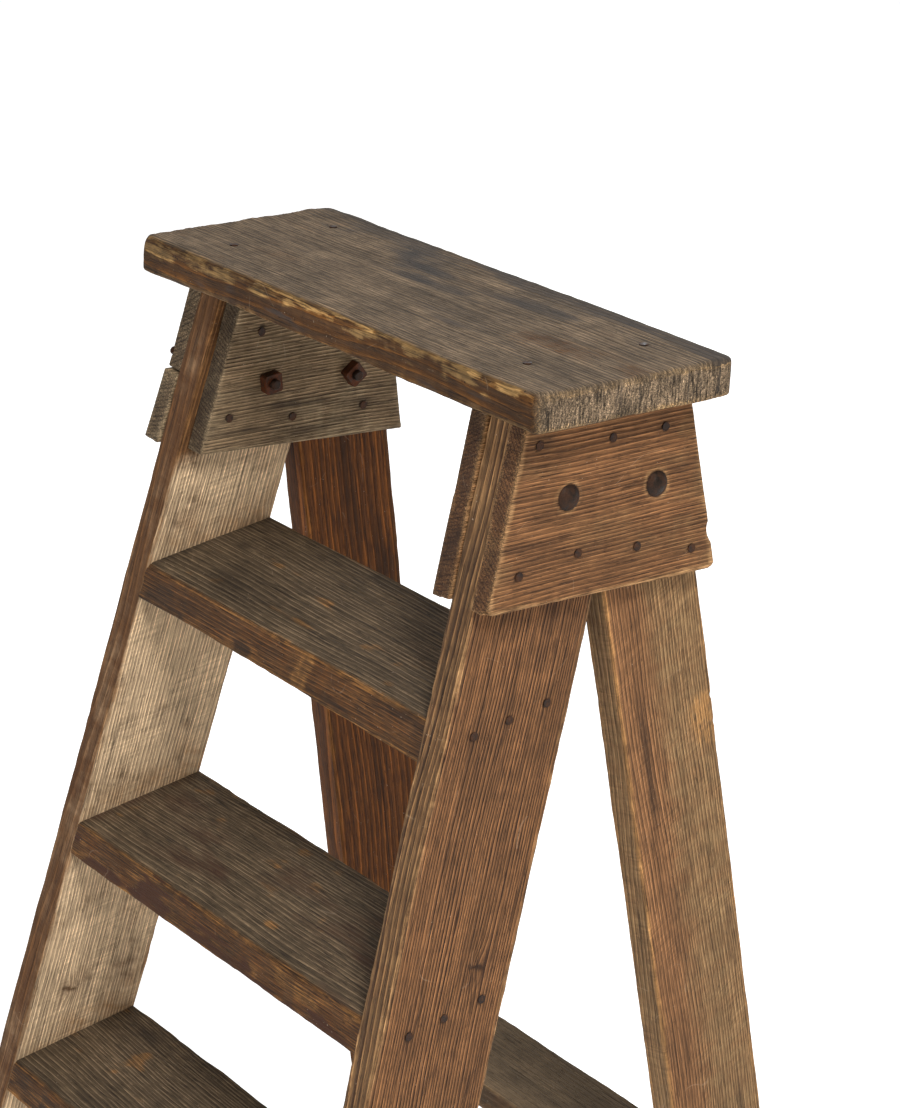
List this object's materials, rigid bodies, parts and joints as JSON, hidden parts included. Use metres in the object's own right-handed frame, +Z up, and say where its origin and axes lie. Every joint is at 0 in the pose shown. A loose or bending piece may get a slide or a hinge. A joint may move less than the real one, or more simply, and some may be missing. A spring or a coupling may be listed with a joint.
{
  "type": "step ladder",
  "caption": "Rigid wooden trestle step ladder: splayed stiles with housed, forward-sloping treads, plain rear legs, bolted and nailed cheek boards and a plank top.",
  "frame": {"origin": "on the floor, at the centre of the footprint's bounding box", "axes": "+Z up; the treads face -Y, the side a climber starts from; +X is the climber's right"},
  "size_m": [0.5834, 0.7082, 1.23],
  "materials": {
    "top_wood": "worn grey-brown softwood, raised grain",
    "stile_wood": "weathered red-brown softwood, sawn",
    "pale_stile_wood": "weathered softwood with pale inner face",
    "leg_wood": "weathered softwood, sawn",
    "cheek_wood": "weathered red-brown softwood, rough sawn",
    "grey_cheek_wood": "grey rough-sawn softwood",
    "tread_wood": "dark worn softwood, raised grain",
    "plank_wood": "dark grey worn softwood with worm holes",
    "bolt_iron": "dark rust-browned iron",
    "nut_iron": "rusty iron",
    "nail_iron": "dark rusty iron"
  },
  "bodies": {
    "root": {"top_step": "top_wood", "stile_right": "stile_wood", "stile_left": "pale_stile_wood", "rear_leg_right": "leg_wood", "rear_leg_left": "leg_wood", "cheek_outer_right": "cheek_wood", "cheek_inner_right": "cheek_wood", "cheek_outer_left": "cheek_wood", "cheek_inner_left": "grey_cheek_wood", "tread_1": "tread_wood", "tread_2": "tread_wood", "tread_3": "tread_wood", "tread_4": "tread_wood", "rear_plank": "plank_wood", "carriage_bolts": "bolt_iron", "square_nuts": "nut_iron", "top_step_nails": "nail_iron", "cheek_nails_right": "nail_iron", "cheek_nails_left": "nail_iron", "tread_nails_right": "nail_iron", "tread_nails_left": "nail_iron", "rear_plank_nails": "nail_iron"}
  },
  "joints": []
}
